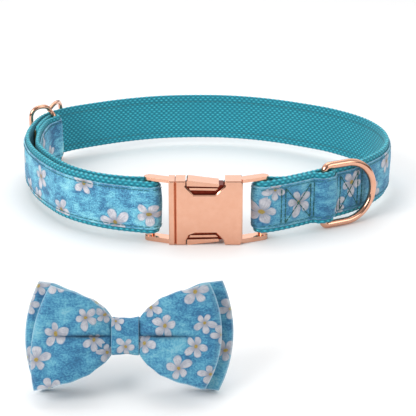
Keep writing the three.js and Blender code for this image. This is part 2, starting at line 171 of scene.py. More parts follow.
class Graph:
    """A material's or a world's node tree, with one method for each kind of node used here."""

    def __init__(self, name, kind="materials", shader="Principled BSDF"):
        self.owner = getattr(bpy.data, kind).new(name)
        self.owner.use_nodes = True
        self.tree = self.owner.node_tree
        self.shader = self.tree.nodes[shader]

    def put(self, socket, value):
        if isinstance(value, bpy.types.NodeSocket):
            self.tree.links.new(value, socket)
        elif value is not None:
            socket.default_value = value

    def node(self, kind, **settings):
        made = self.tree.nodes.new(kind)
        for key, value in settings.items():
            setattr(made, key, value)
        return made

    def math(self, operation, first, second=None, third=None, clamp=False):
        made = self.node("ShaderNodeMath", operation=operation, use_clamp=clamp)
        for socket, value in zip(made.inputs, (first, second, third)):
            self.put(socket, value)
        return made.outputs[0]

    def times(self, first, second, clamp=False):
        return self.math("MULTIPLY", first, second, clamp=clamp)

    def plus(self, first, second):
        return self.math("ADD", first, second)

    def cloud(self, scale, detail, rough):
        """Noise fixed to the object, for surfaces without cloth coordinates."""
        return self.noise(self.node("ShaderNodeTexCoord").outputs["Object"], scale, detail, rough)

    def step(self, value, low, high, to_low=0.0, to_high=1.0):
        """A smooth rise from to_low to to_high while value goes from low to high."""
        made = self.node("ShaderNodeMapRange", interpolation_type="SMOOTHSTEP")
        for socket, item in zip(made.inputs, (value, low, high, to_low, to_high)):
            self.put(socket, item)
        return made.outputs[0]

    def mix(self, share, first, second):
        made = self.node("ShaderNodeMix", data_type="RGBA")
        self.put(made.inputs[0], share)
        self.put(made.inputs[6], first)
        self.put(made.inputs[7], second)
        return made.outputs[2]

    def ramp(self, value, *stops):
        """A colour ramp through (position, colour) stops."""
        made = self.node("ShaderNodeValToRGB")
        self.put(made.inputs[0], value)
        while len(made.color_ramp.elements) < len(stops):
            made.color_ramp.elements.new(0.5)
        for element, (position, colour) in zip(made.color_ramp.elements, stops):
            element.position = position
            element.color = colour
        return made.outputs[0]

    def noise(self, vector, scale, detail=2.0, rough=0.5):
        made = self.node("ShaderNodeTexNoise")
        self.put(made.inputs["Vector"], vector)
        made.inputs["Scale"].default_value = scale
        made.inputs["Detail"].default_value = detail
        made.inputs["Roughness"].default_value = rough
        return made.outputs[0]

    def stretch(self, vector, factors):
        made = self.node("ShaderNodeVectorMath", operation="MULTIPLY")
        self.put(made.inputs[0], vector)
        made.inputs[1].default_value = factors
        return made.outputs[0]

    def uv(self, name):
        return self.node("ShaderNodeUVMap", uv_map=name).outputs[0]

    def parts(self, vector, count=2):
        made = self.node("ShaderNodeSeparateXYZ")
        self.put(made.inputs[0], vector)
        return tuple(made.outputs)[:count]

    def bump(self, height, depth, strength=1.0):
        made = self.node("ShaderNodeBump")
        made.inputs["Strength"].default_value = strength
        made.inputs["Distance"].default_value = depth
        self.put(made.inputs["Height"], height)
        self.put(self.shader.inputs["Normal"], made.outputs[0])

    def set(self, **values):
        for key, value in values.items():
            self.put(self.shader.inputs[key.replace("_", " ")], value)
        return self.owner


print("helpers ready")

# %% [markdown]
# ## Webbing
#
# The strap's ground is a coarse teal webbing. Its thick yarns show as rows of nubs, each row
# set half a step from the next, with gaps where one yarn dives under another. The mesh
# carries the nubs as real bumps. The material repeats the same rule on the cloth coordinates
# and paints the tops light, a painted highlight, and the gaps dark, painted shade, so that
# colour and shape agree.

# %% Webbing material
NUB_STEP = 2.8 * MM      # from one nub to the next along the strap
ROW_STEP = 1.25 * MM     # from one row of nubs to the next across it


def webbing_material():
    """Brightness = cosine along the strap, turned half a step on odd rows, times cosine across."""
    g = Graph("woven_webbing")
    cloth = g.uv("cloth")
    along, across = g.parts(cloth)
    rows = g.math("DIVIDE", across, ROW_STEP)
    row = g.math("ROUND", rows)
    within = g.math("COSINE", g.times(g.math("SUBTRACT", rows, row), math.pi))
    turn = g.times(g.math("DIVIDE", along, NUB_STEP), 2 * math.pi)
    wave = g.math("COSINE", g.plus(turn, g.times(row, math.pi)))
    nub = g.times(g.math("MULTIPLY_ADD", wave, 0.5, 0.5), within)
    fuzz = g.noise(g.stretch(cloth, (1, 3, 1)), 900, 3, 0.6)
    # Painted highlight and painted shade: the nub pattern makes the tops lighter and the gaps darker; the fuzz is
    # the yarn's own tone.
    light = g.plus(g.times(nub, 0.66), g.times(fuzz, 0.50))
    colour = g.ramp(light, (0.10, paint(8, 88, 104)), (0.40, paint(22, 136, 156)),
                    (0.66, paint(38, 164, 184)), (0.95, paint(84, 204, 216)))
    worn = g.noise(cloth, 60, 2)
    colour = g.mix(g.step(worn, 0.35, 0.7, 0.0, 0.20), colour, paint(22, 126, 148))
    g.bump(g.plus(nub, g.times(fuzz, 0.5)), 0.20 * MM, 0.7)
    return g.set(Base_Color=colour, Roughness=0.82, Sheen_Weight=0.15, Sheen_Roughness=0.5)


WEBBING_CLOTH = webbing_material()
print("webbing: nubs every", NUB_STEP / MM, "mm in rows", ROW_STEP / MM, "mm apart")

# %% [markdown]
# ## Printed cotton
#
# The second cloth is a thin cotton printed with pale blossoms on mottled blue. Each blossom
# is drawn by rule rather than by picture. The mesh tells every face its place relative to
# the nearest blossom, turned and divided by the blossom's radius, in a UV map of its own.
# The material turns that place into an angle and a distance: five rounded lobes make the
# petals, fine rays make the veins, and a small olive disc makes the eye.

# %% Print material
PETALS, VEINS = 5, 29
SHAKE = 0.22             # how far a petal's outline wanders, in blossom radii
YARN_STEP = 0.5 * MM


def print_material():
    """Petal edge = (0.18 plus 0.82 times a root of |cos(2.5 angle)|) times an uneven factor near 0.9."""
    g = Graph("printed_cotton")
    cloth = g.uv("cloth")

    # The offset from the blossom's middle, shaken a little so that no two petals are the same.
    wander = g.node("ShaderNodeTexNoise", noise_dimensions="3D")
    g.put(wander.inputs["Vector"], cloth)
    wander.inputs["Scale"].default_value = 260
    wander.inputs["Detail"].default_value = 2
    shifted = g.node("ShaderNodeVectorMath", operation="MULTIPLY_ADD")
    g.put(shifted.inputs[0], wander.outputs[1])
    shifted.inputs[1].default_value = (SHAKE, SHAKE, 0)
    centred = g.node("ShaderNodeVectorMath", operation="SUBTRACT")
    g.put(centred.inputs[0], g.uv("flower"))
    centred.inputs[1].default_value = (SHAKE / 2, SHAKE / 2, 0)
    g.put(shifted.inputs[2], centred.outputs[0])
    x, y = g.parts(shifted.outputs[0])
    far = g.math("SQRT", g.plus(g.times(x, x), g.times(y, y)))
    angle = g.math("ARCTAN2", y, x)
    lobe = g.math("POWER", g.math("ABSOLUTE", g.math("COSINE", g.times(angle, PETALS / 2))), 0.50)
    uneven = g.plus(g.math("MULTIPLY_ADD", g.math("SINE", g.plus(angle, 0.6)), 0.10, 0.90),
                    g.times(g.math("SINE", g.math("MULTIPLY_ADD", angle, 3, 1.2)), 0.09))
    edge = g.times(g.math("MULTIPLY_ADD", lobe, 0.82, 0.18), uneven)
    inside = g.math("SUBTRACT", edge, far)
    petal = g.step(inside, -0.03, 0.06)
    halo = g.step(inside, -0.34, 0.02)

    # The mottled blue ground, darker where painted shade is laid on and round each blossom.
    streaks = g.noise(g.stretch(cloth, (0.8, 1.5, 1)), 260, 4, 0.6)
    clouds = g.noise(cloth, 80, 2, 0.5)
    flecks = g.noise(g.stretch(cloth, (1.0, 1.3, 1)), 1300, 3, 0.7)
    tone = g.plus(g.plus(g.times(streaks, 0.75), g.times(clouds, 0.80)), g.times(flecks, 0.95))
    ground = g.ramp(g.math("SUBTRACT", tone, 0.755),
                    (0.28, paint(44, 100, 142)), (0.42, paint(70, 144, 184)), (0.53, paint(100, 182, 212)),
                    (0.64, paint(128, 208, 226)), (0.76, paint(160, 224, 234)))
    rim, painted_shade = g.parts(g.uv("rim"))
    # Painted shade from the second rim channel: it darkens the ground, evenly on the bow and knot, deeper along
    # the bow's crease and over part of the strap.
    ground = g.mix(g.times(painted_shade, 0.52, clamp=True), ground, paint(22, 92, 130))
    ground = g.mix(g.times(halo, 0.40), ground, paint(36, 92, 136))

    # The petals: greyer towards the eye, along the veins, between the lobes and at the edge, and darker under
    # painted shade.
    veins = g.math("MULTIPLY_ADD", g.math("SINE", g.times(angle, VEINS)), 0.5, 0.5)
    patches = g.noise(cloth, 420, 3, 0.6)
    leaf = g.mix(g.step(far, 0.10, 0.50), paint(158, 158, 166), paint(222, 220, 224))
    for share, shade in (
            (g.step(patches, 0.44, 0.62, 0.0, 0.70), paint(172, 176, 190)),
            (g.times(veins, g.step(far, 0.15, 0.90, 0.50, 0.10)), paint(128, 128, 146)),
            (g.step(lobe, 0.78, 0.30, 0.0, 0.65), paint(138, 146, 172)),
            (g.times(g.step(inside, 0.14, 0.0), 0.35), paint(150, 176, 205)),
            (g.times(painted_shade, 0.40, clamp=True), paint(112, 120, 130))):
        leaf = g.mix(share, leaf, shade)
    colour = g.mix(petal, ground, leaf)
    grain = g.noise(cloth, 2600, 1)
    eye = g.mix(grain, paint(84, 76, 30), paint(196, 168, 78))
    colour = g.mix(g.step(far, 0.17, 0.11), colour, eye)

    # A thin pale line along the folded edge, a painted highlight, and the plain weave over everything.
    colour = g.mix(g.step(rim, 0.965, 0.99, 0.0, 0.30), colour, paint(196, 226, 236))
    warp, weft = (g.math("SINE", g.times(part, 2 * math.pi / YARN_STEP)) for part in g.parts(cloth))
    weave = g.times(warp, weft)
    colour = g.mix(g.math("MULTIPLY_ADD", weave, 0.05, 0.05), colour, paint(24, 70, 110))
    g.bump(g.plus(weave, g.times(grain, 0.8)), 0.04 * MM, 0.6)
    return g.set(Base_Color=colour, Roughness=0.78, Sheen_Weight=0.12, Sheen_Roughness=0.5)


PRINTED_COTTON = print_material()
print("printed cotton: five-petalled blossoms on mottled blue")

# %% [markdown]
# ## Metal, thread and elastic
#
# The buckle, slide and ring are cast and plated in polished rose gold. Its colour is the
# metal's reflection, so the roughness is low and only a faint cloud of handling marks breaks
# it. The walls inside the buckle's gaps are a dark metal as painted shade. The thread is dark
# green with a fine fluff, and the elastic is a plain ribbed band.

# %% Metal, thread and elastic materials
def metal_material():
    """Polished plate: low roughness with a faint cloud of marks."""
    g = Graph("rose_gold")
    marks = g.cloud(320, 4, 0.6)
    rough = g.step(marks, 0.35, 0.75, 0.10, 0.16)
    colour = g.mix(g.step(marks, 0.3, 0.7), paint(224, 168, 141), paint(228, 174, 148))
    return g.set(Base_Color=colour, Metallic=1.0, Roughness=rough)


def recess_material():
    """Painted shade for the buckle's gaps: a dark red-brown metal, with a cloud of uneven tone."""
    g = Graph("painted_recess_shade")
    colour = g.mix(g.cloud(700, 3, 0.6), paint(66, 16, 10), paint(140, 54, 38))
    return g.set(Base_Color=colour, Metallic=1.0, Roughness=0.38)


def thread_material(name, dark, light):
    """Thread with a fine fluff, light on the strands and dark between."""
    g = Graph(name)
    fluff = g.cloud(2400, 2, 0.5)
    g.bump(fluff, 0.1 * MM, 0.5)
    return g.set(Base_Color=g.mix(fluff, dark, light), Roughness=0.7, Sheen_Weight=0.1)


def elastic_material():
    """Ribs along the band, a sine across the cloth, crossed by the loops of its knit."""
    g = Graph("flat_elastic")
    along, across = g.parts(g.uv("cloth"))
    rib = g.math("SINE", g.times(across, 2 * math.pi / (0.8 * MM)))
    loops = g.math("SINE", g.times(along, 2 * math.pi / (0.6 * MM)))
    height = g.times(rib, g.math("MULTIPLY_ADD", loops, 0.3, 0.7))
    # Painted shade: the colour follows the rib height, darker in the valleys between ribs and lighter on their
    # tops.
    colour = g.mix(g.math("MULTIPLY_ADD", height, 0.5, 0.5), paint(14, 96, 108), paint(40, 150, 164))
    g.bump(height, 0.1 * MM, 0.8)
    return g.set(Base_Color=colour, Roughness=0.85, Sheen_Weight=0.1)


ROSE_GOLD = metal_material()
# Painted shade: a dark metal for the walls inside the buckle's gaps.
PAINTED_RECESS_SHADE = recess_material()
SEAM_THREAD = thread_material("seam_thread", paint(16, 96, 108), paint(52, 136, 148))
BOX_THREAD = thread_material("box_thread", paint(6, 70, 70), paint(34, 112, 106))
ELASTIC = elastic_material()
print("metal, thread and elastic ready")

# %% [markdown]
# ## The strap's plan
#
# Seen from above, the strap runs from the buckle's right-hand bar round the back of the neck
# to its left-hand bar. A curve through 24 stations gives its outer face. Most are places on a
# fitted outline, rounded to a tenth, and some were moved or set one by one. The curve is the
# usual one through points, where the slope at each is half the step between its neighbours.
# The stations are in the maker's drawing, which the frame then centres, so the buckle's own
# corner tells how far the drawing was moved.

# %% Strap plan
PLAN = np.array([
    (27.0, -75.6), (36.0, -71.4), (52.8, -60.4), (72.2, -45.6), (87.0, -24.4), (91.4, 0.0),
    (85.1, 24.9), (69.8, 44.9), (50.6, 58.5), (31.5, 68.3), (11.9, 73.9), (-7.9, 75.0),
    (-27.5, 73.0), (-46.5, 66.8), (-64.0, 57.8), (-78.0, 48.4), (-88.3, 35.6), (-92.3, 17.6),
    (-92.6, -2.8), (-87.8, -22.0), (-78.6, -40.8), (-66.4, -57.4), (-48.3, -69.9), (-28.0, -76.6)])
BUCKLE_CORNER = np.array([-14.7, -80.5, 0.0])
SHIFT = np.array(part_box("buckle_female")[0]) / MM - BUCKLE_CORNER


def through_points(points, at):
    """Position and slope on the curve through points; at runs from 0 to the last point's number."""
    piece = np.clip(np.floor(at).astype(int), 0, len(points) - 2)
    share = (at - piece)[:, None]
    before, start = points[np.maximum(piece - 1, 0)], points[piece]
    end, after = points[piece + 1], points[np.minimum(piece + 2, len(points) - 1)]
    out, into = (end - before) / 2, (after - start) / 2
    cubic, square = 2 * (start - end) + out + into, 3 * (end - start) - 2 * out - into
    return (((cubic * share + square) * share + out) * share + start,
            (3 * cubic * share + 2 * square) * share + out)


dense, dense_slope = through_points(PLAN, np.linspace(0, len(PLAN) - 1, 8001))
dense_length = np.concatenate([[0], np.cumsum(np.linalg.norm(np.diff(dense, axis=0), axis=1))])
STRAP_LENGTH = dense_length[-1]


def inside(along, inset):
    """The point at a distance along the plan, moved in towards the neck by inset."""
    along = np.atleast_1d(np.asarray(along, float))
    point = np.stack([np.interp(along, dense_length, dense[:, axis]) for axis in (0, 1)], axis=1)
    slope = np.stack([np.interp(along, dense_length, dense_slope[:, axis]) for axis in (0, 1)], axis=1)
    slope /= np.linalg.norm(slope, axis=1)[:, None]
    left = np.stack([-slope[:, 1], slope[:, 0]], axis=1)
    return point + left * np.broadcast_to(inset, along.shape)[:, None]


print(f"outer face from bar to bar: {STRAP_LENGTH:.1f} mm")

# %% [markdown]
# ## The strap's route
#
# One strip of webbing makes the whole strap. Its hidden end lies inside the right-hand part,
# where it is sewn down. From there it goes round the right-hand bar, bulges over the leash
# ring's bar, runs round the neck, turns round the left-hand bar, and comes back as a second
# layer to the slide, where its end is turned round the slide's middle bar.

# %% Strap route
THICK, WIDTH, BOTTOM = 1.8, 25.0, 4.0
BAR_RADIUS, BAR_ROOM, GAP = 2.2, 0.4, 0.3
RING_WIRE, SLIDE_WIRE = 3.5, 2.2
TUNNEL_FROM, TUNNEL_TO, TUNNEL_RAMP = 25.4, 38.1, 4.0
STRIP_THICK = 1.0
SLIDE_BACK = 144.0
INNER_END = 56.0
INNER_LEFT = np.array([(0, 7.9), (12, 6.0), (30, 5.0), (90, 5.0), (106, 6.4), (132, 6.4), (144, 8.9)])
INNER_RIGHT = np.array([(0, 7.8), (12, 3.0), (56, 3.0)])
FOLDED_END = 24.0
STEP = 0.7


def smooth(value):
    """0 to 1 with level ends: 3 squares less 2 cubes."""
    value = np.clip(value, 0, 1)
    return value * value * (3 - 2 * value)


def ease(table, at):
    """Between a table's rows, half straight and half smooth."""
    row = np.clip(np.searchsorted(table[:, 0], at, side="left") - 1, 0, len(table) - 2)
    low, high = table[row], table[row + 1]
    part = np.clip((at - low[..., 0]) / (high[..., 0] - low[..., 0]), 0, 1)
    return low[..., 1] + (high[..., 1] - low[..., 1]) * (0.5 * part + 0.5 * smooth(part))


def bulge(along):
    """How far the outer layer stands out over the leash ring's bar."""
    up = smooth((along - TUNNEL_FROM) / TUNNEL_RAMP)
    down = smooth((TUNNEL_TO - along) / TUNNEL_RAMP)
    return (RING_WIRE + GAP) * np.minimum(up, down)


def round_bar(centre, radius, start):
    """Points half way round a bar, turning left."""
    turn = start + np.linspace(0, np.pi, 13)[1:-1]
    return centre + radius * np.stack([np.cos(turn), np.sin(turn)], axis=1)


def away_from_neck(along):
    """The direction, as an angle, that points out of the strap."""
    ahead = inside(along, 0.0)[0] - inside(along, 1.0)[0]
    return math.atan2(ahead[1], ahead[0])


HALF = THICK / 2
SLIDE_AT = STRAP_LENGTH - SLIDE_BACK
slide_inset = 2 * THICK + STRIP_THICK + 3 * GAP + SLIDE_WIRE / 2
right_bar = inside(0, THICK + BAR_ROOM + BAR_RADIUS)[0]
left_bar = inside(STRAP_LENGTH, THICK + BAR_ROOM + BAR_RADIUS)[0]
slide_bar = inside(SLIDE_AT, slide_inset)[0]
bar_bend = BAR_RADIUS + BAR_ROOM + HALF
slide_bend = SLIDE_WIRE / 2 + GAP + HALF

inner_right_at = np.arange(INNER_END, 0.5, -1.0)
outer_at = np.arange(0, STRAP_LENGTH, 1.0)
inner_left_at = np.arange(0.5, SLIDE_BACK, 1.0)
turned_at = np.arange(0.5, FOLDED_END, 1.0)
legs = [
    inside(inner_right_at, ease(INNER_RIGHT, inner_right_at)),
    round_bar(right_bar, bar_bend, away_from_neck(0) + np.pi),
    inside(outer_at, HALF - bulge(outer_at)),
    round_bar(left_bar, bar_bend, away_from_neck(STRAP_LENGTH)),
    inside(STRAP_LENGTH - inner_left_at, ease(INNER_LEFT, inner_left_at)),
    round_bar(slide_bar, slide_bend, away_from_neck(SLIDE_AT) + np.pi),
    inside(SLIDE_AT + turned_at, slide_inset - slide_bend)]
rough_route = np.concatenate(legs)


def spaced(points, step):
    """The same path with points a step apart, by distance along it."""
    run = np.concatenate([[0], np.cumsum(np.linalg.norm(np.diff(points, axis=0), axis=1))])
    count = int(round(run[-1] / step))
    at = np.linspace(0, run[-1], count + 1)
    return np.stack([np.interp(at, run, column) for column in points.T], axis=1)


def calmed(points, reach):
    """Each point averaged with its neighbours, the ends kept, so that the path has no corners."""
    weights = np.hanning(2 * reach + 3)[1:-1]
    weights /= weights.sum()
    before, after = 2 * points[0] - points[reach:0:-1], 2 * points[-1] - points[-2:-reach - 2:-1]
    padded = np.concatenate([before, points, after])
    return np.stack([np.convolve(column, weights, "valid") for column in padded.T], axis=1)


route = spaced(calmed(spaced(rough_route, 0.35), 4), STEP)
route_run = np.arange(len(route)) * STEP
ROUTE_LENGTH = route_run[-1]
route_ahead = np.gradient(route, axis=0)
route_ahead /= np.linalg.norm(route_ahead, axis=1)[:, None]


def nearest_run(point):
    """The distance along the route of the route's point nearest to a point."""
    return route_run[np.argmin(np.linalg.norm(route - point, axis=1))]


outer_plan = np.arange(0, STRAP_LENGTH, 4.0)
outer_run = np.array([nearest_run(point) for point in inside(outer_plan, HALF - bulge(outer_plan))])


def strap_frame(run):
    """Position, forward and outward directions in plan at distances along the route."""
    centre = np.stack([np.interp(run, route_run, route[:, axis]) for axis in (0, 1)], axis=-1)
    ahead = np.stack([np.interp(run, route_run, route_ahead[:, axis]) for axis in (0, 1)], axis=-1)
    ahead /= np.linalg.norm(ahead, axis=-1, keepdims=True)
    side = np.stack([ahead[..., 1], -ahead[..., 0]], axis=-1)
    return centre, ahead, side


def on_strap(run, across, out):
    """Metres: at a distance along the route, a height across it and a distance off its middle."""
    centre, _, side = strap_frame(run)
    plan = centre + side * out[..., None]
    height = BOTTOM + WIDTH / 2 + across
    return (np.concatenate([plan, height[..., None]], axis=-1) + SHIFT) * MM


print(f"webbing cut to {ROUTE_LENGTH:.0f} mm")

# %% [markdown]
# ## The webbing as a mesh
#
# The strip's cross-section is a flat band with rounded edges. It is carried along the route.
# Each point then moves outwards by the height of the nub it belongs to, which is the same
# rule that the material uses for its colour. Only the bare face and the margins need fine
# columns, because the print covers the rest.

# %% Webbing piece
NUB_HEIGHT = 0.16
FACE_HALF = 11.875       # from the strap's middle to where its edge starts to round over
FACE_STEP = 0.625        # half a row of nubs
EDGE_ROUND = 0.62


def nub(run, across):
    """Cosine along the strap, turned half a step on odd rows, times cosine across each row."""
    rows = across / (ROW_STEP / MM)
    row = np.round(rows)
    wave = np.cos(2 * np.pi * run / (NUB_STEP / MM) + np.pi * row)
    return np.clip(wave, -0.4, 1) * np.cos(np.pi * (rows - row))


def webbing_profile():
    """Across, out and the section's outward direction: bare face, edge, printed face, edge."""
    bare = np.arange(-FACE_HALF, FACE_HALF + 0.01, FACE_STEP)
    turn = np.radians(np.array([-60, -30, 0, 30, 60]))
    margin = np.append(FACE_HALF - FACE_STEP * np.arange(4), (9.4, 8.0))
    covered = np.concatenate([margin, [0.0], -margin[::-1]])
    edge_across, edge_out = FACE_HALF + EDGE_ROUND * np.cos(turn), HALF * np.sin(turn)
    across = np.concatenate([bare, edge_across, covered, -edge_across])
    out = np.concatenate([np.full(len(bare), -HALF), edge_out, np.full(len(covered), HALF), -edge_out])
    lean_across = np.concatenate([np.zeros(len(bare)), np.cos(turn), np.zeros(len(covered)), -np.cos(turn)])
    lean_out = np.concatenate([-np.ones(len(bare)), np.sin(turn), np.ones(len(covered)), -np.sin(turn)])
    return across, out, lean_across, lean_out


across, out, lean_across, lean_out = webbing_profile()
run = route_run[:, None]
height = NUB_HEIGHT * nub(run, across[None, :])
points = on_strap(np.broadcast_to(run, height.shape), across + lean_across * height, out + lean_out * height)
webbing = make_piece("webbing_strap", points, grid_faces(*height.shape), band_ends(*height.shape))
set_uv(webbing, "cloth", corner_values(pairs(run, np.append(across, across[0])) * MM))
dress(webbing, WEBBING_CLOTH)
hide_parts("webbing")

# %% [markdown]
# ## Where the blossoms are
#
# The print is scattered, so most blossoms come from a seeded draw. Those that face the
# viewer are listed, each with its distance along the strap, its height across it
# and its radius. A face belongs to the blossom that is nearest in units of that blossom's
# radius, which keeps large ones from being cut by small ones.

# %% Blossom helper
def tell_faces(piece, cloth_corners, flowers, rim_corners):
    """UV map flower: each corner's offset from its face's blossom, turned and divided by its radius.

    UV map rim: how near each corner is to the cloth's folded edge, up to 1, and how much
    painted shade it gets.
    """
    middle = cloth_corners.mean(axis=1) / MM
    apart = np.linalg.norm(middle[:, None, :] - flowers[None, :, :2], axis=2) / flowers[None, :, 2]
    own = flowers[np.argmin(apart, axis=1)]
    offset = (cloth_corners / MM - own[:, None, :2]) / own[:, None, 2:3]
    cosine, sine = np.cos(own[:, 3])[:, None], np.sin(own[:, 3])[:, None]
    turned = np.stack([offset[..., 0] * cosine - offset[..., 1] * sine,
                       offset[..., 0] * sine + offset[..., 1] * cosine], axis=-1)
    set_uv(piece, "cloth", cloth_corners)
    set_uv(piece, "flower", turned)
    set_uv(piece, "rim", rim_corners)


chance = np.random.default_rng(7)
ANY_TURN = 6.3           # about a full turn


def scattered(from_run, to_run, step, reach, smallest, largest):
    """Blossoms about a step apart along a stretch, on alternate sides of its middle."""
    count = max(1, int((to_run - from_run) / step))
    number = np.arange(count)
    at = from_run + (number + 0.5) * (to_run - from_run) / count + chance.uniform(-0.2, 0.2, count) * step
    side = np.where(number % 2 == 0, 1.0, -1.0) * chance.uniform(0.25, 1.0, count) * reach
    radius = chance.uniform(smallest, largest, count)
    return np.stack([at, side, radius, chance.uniform(0, ANY_TURN, count)], axis=1)


print("blossom helper ready")

# %% [markdown]
# ## The printed strip
#
# A strip of the print, its long edges folded under, is sewn down the middle of the webbing.
# It is slightly puffed between its seams and drawn in along them, with a small pucker
# at every stitch. The section is a flat band whose edges are rounded as a fold is.

# %% Printed strip piece
STRIP_WIDTH = 20.4
SEAM_ACROSS = 8.9
STITCH_STEP = 2.8
BOX_ROWS = np.array([6.8, 9.0, 23.0, 25.4, 38.1, 40.7, 52.2, 55.0])
STRIP_LIFT = 0.2         # from the webbing's middle face height to the strip's underside
STRIP_BODY = 0.92
EDGE_FOLD = 0.5
STRIP_ROWS = 760

box_runs = np.interp(BOX_ROWS, outer_plan, outer_run)
strip_run = np.linspace(GAP, ROUTE_LENGTH - GAP, STRIP_ROWS)[:, None]


def strip_profile():
    """Across and height above the webbing of the cloth band's section, top face then underside."""
    flat = STRIP_WIDTH / 2 - EDGE_FOLD
    turn = np.radians(np.linspace(90, -90, 7))[1:-1]
    margin = np.linspace(7.6, flat, 5)
    top = np.concatenate([-margin[::-1], np.linspace(-6.5, 6.5, 15), margin])
    edge_across = flat + EDGE_FOLD * np.cos(turn)
    edge_height = 0.52 + 0.48 * np.sin(turn)
    underside = [flat, 5, 0, -5, -flat]
    across = np.concatenate([top, edge_across, underside, -edge_across])
    low, high = np.full(len(underside), 0.04), np.full(len(top), 1.0)
    height = np.concatenate([high, edge_height, low, edge_height[::-1]])
    return across, height


def puff(run, across):
    """Crown between the seams, less a groove along each seam and each box row, less its puckers."""
    crown = 0.16 * (1 - (across / 9) ** 2)
    from_seam = np.abs(np.abs(across) - SEAM_ACROSS)
    seam = np.exp(-(from_seam / 0.75) ** 2)
    pucker = 0.06 * np.cos(2 * np.pi * run / STITCH_STEP) * np.exp(-(from_seam / 1.8) ** 2)
    rows_near = np.exp(-((run[..., None] - box_runs) / 0.7) ** 2).sum(axis=-1)
    ripple = 0.07 * np.sin(run / 5.1 + 0.35 * across) + 0.05 * np.sin(run / 2.7 - 0.5 * across)
    return crown + ripple - 0.34 * seam - 0.3 * rows_near + pucker


across, height = strip_profile()
strip_runs, strip_across = np.broadcast_arrays(strip_run, across)
lift = np.clip((height - 0.3) / 0.7, 0, 1) * puff(strip_runs, across)
out = HALF + STRIP_LIFT + height * STRIP_BODY + lift
strip = make_piece("printed_strip_cloth", on_strap(strip_runs, strip_across, out),
                   grid_faces(*out.shape), band_ends(*out.shape))

# Distance along the plan, height across the strap and radius.
PLACED_RIGHT, PLACED_LEFT = 112, 110
by_hand = np.array([
    (STRAP_LENGTH + 0.9, -2.5, 6.0), (STRAP_LENGTH - 15, -8.0, 7.6), (STRAP_LENGTH - 31, 8.4, 6.6),
    (STRAP_LENGTH - 47, -8.0, 6.6), (STRAP_LENGTH - 66, 3.0, 6.8), (STRAP_LENGTH - 71, -9.0, 5.4),
    (STRAP_LENGTH - 99, 3.0, 6.6), (STRAP_LENGTH - 84, -8.4, 5.6),
    (-2.0, -1.6, 7.4), (3.4, 8.4, 5.6), (15.8, 0.4, 7.4), (38.5, -6.5, 6.6), (48, 3.8, 7.2),
    (66, -5.5, 6.4), (80, 6.0, 6.4), (98, -8.5, 6.6)])
at = by_hand[:, 0]
by_hand_run = np.interp(at, outer_plan, outer_run) + np.minimum(at, 0) + np.maximum(at - outer_plan[-1], 0)
by_hand = np.column_stack([by_hand_run, by_hand[:, 1:], chance.uniform(0, ANY_TURN, len(by_hand))])
middle_from, middle_to = np.interp([PLACED_RIGHT, STRAP_LENGTH - PLACED_LEFT], outer_plan, outer_run)
strip_flowers = np.concatenate([
    by_hand,
    scattered(0, by_hand_run.min() - 8, 15, 8, 5.2, 7.2),
    scattered(middle_from, middle_to, 15, 8.5, 5.4, 7.2),
    scattered(by_hand_run[0] + 14, ROUTE_LENGTH, 15, 8.5, 5.4, 7.2)])
around = np.append(across, across[0])
shaded_from, shaded_to = np.interp([0, 110], outer_plan, outer_run)
# Painted shade over the strap's right-hand part, from inside the buckle to about 110 mm along the plan, fading
# out over its last 60 mm.
painted_shade = 0.75 * smooth((strip_run - shaded_from + 30) / 10) * smooth((shaded_to - strip_run) / 60)
rim = pairs(np.abs(around) / (STRIP_WIDTH / 2), painted_shade)
tell_faces(strip, corner_values(pairs(strip_run, around) * MM), strip_flowers, corner_values(rim))
dress(strip, PRINTED_COTTON)
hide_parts("printed_strip")
print(f"printed strip {ROUTE_LENGTH:.0f} x {STRIP_WIDTH} mm with {len(strip_flowers)} blossoms")

# %% [markdown]
# ## Stitching
#
# Two seams hold the strip to the webbing and show on both sides of it, and rows and crosses
# of stitches close the tunnel of the leash ring. Every stitch is the same short, rounded
# capsule. One small capsule is worked out once, and arrays place, turn and stretch copies of
# it, so that thousands of stitches are one mesh.

# %% Stitch pieces
SEAM_THREAD_THICK, BOX_THREAD_THICK = 0.44, 0.56
FLATTENED = 0.8          # a stitch's height as a share of its width
COVER = 0.95             # a stitch's length as a share of its step


def capsule():
    """A rounded rod along its first axis, half a unit each way, with radii that close its ends."""
    along = np.array([-0.5, -0.42, -0.2, 0.2, 0.42, 0.5])[:, None]
    radius = np.array([0.12, 0.72, 1.0, 1.0, 0.72, 0.12])[:, None]
    turn = np.linspace(0, 2 * np.pi, 6, endpoint=False)
    rings = np.broadcast_arrays(along, radius * np.cos(turn), radius * np.sin(turn))
    size = rings[0].shape
    return np.stack(rings, axis=-1).reshape(-1, 3), grid_faces(*size), band_ends(*size)


def stitches(name, thread, thickness, run, across, out, step_run, step_across):
    """Capsules centred at (run, across, out), each as long and as slanted as its step."""
    centre = on_strap(run, across, out)
    _, ahead, side = strap_frame(run)
    zeros = np.zeros_like(run)
    forward = np.column_stack([ahead * step_run[:, None], step_across])
    outward = np.column_stack([side, zeros])
    beside = np.cross(forward, outward)
    beside /= np.linalg.norm(beside, axis=1)[:, None]
    shape, quads, ends = capsule()
    length, high, wide = np.split(shape, 3, axis=1)
    wound = thickness / 2 * (high * FLATTENED * outward[:, None] + wide * beside[:, None])
    placed = centre[:, None] + MM * (length * forward[:, None] + wound)
    base = (np.arange(len(run)) * len(shape))[:, None, None]
    faces = (base + quads).reshape(-1, 4)
    caps = (base + np.array(ends)).reshape(-1, len(ends[0]))
    piece = make_piece(name, placed, faces, caps.tolist())
    return dress(piece, thread)


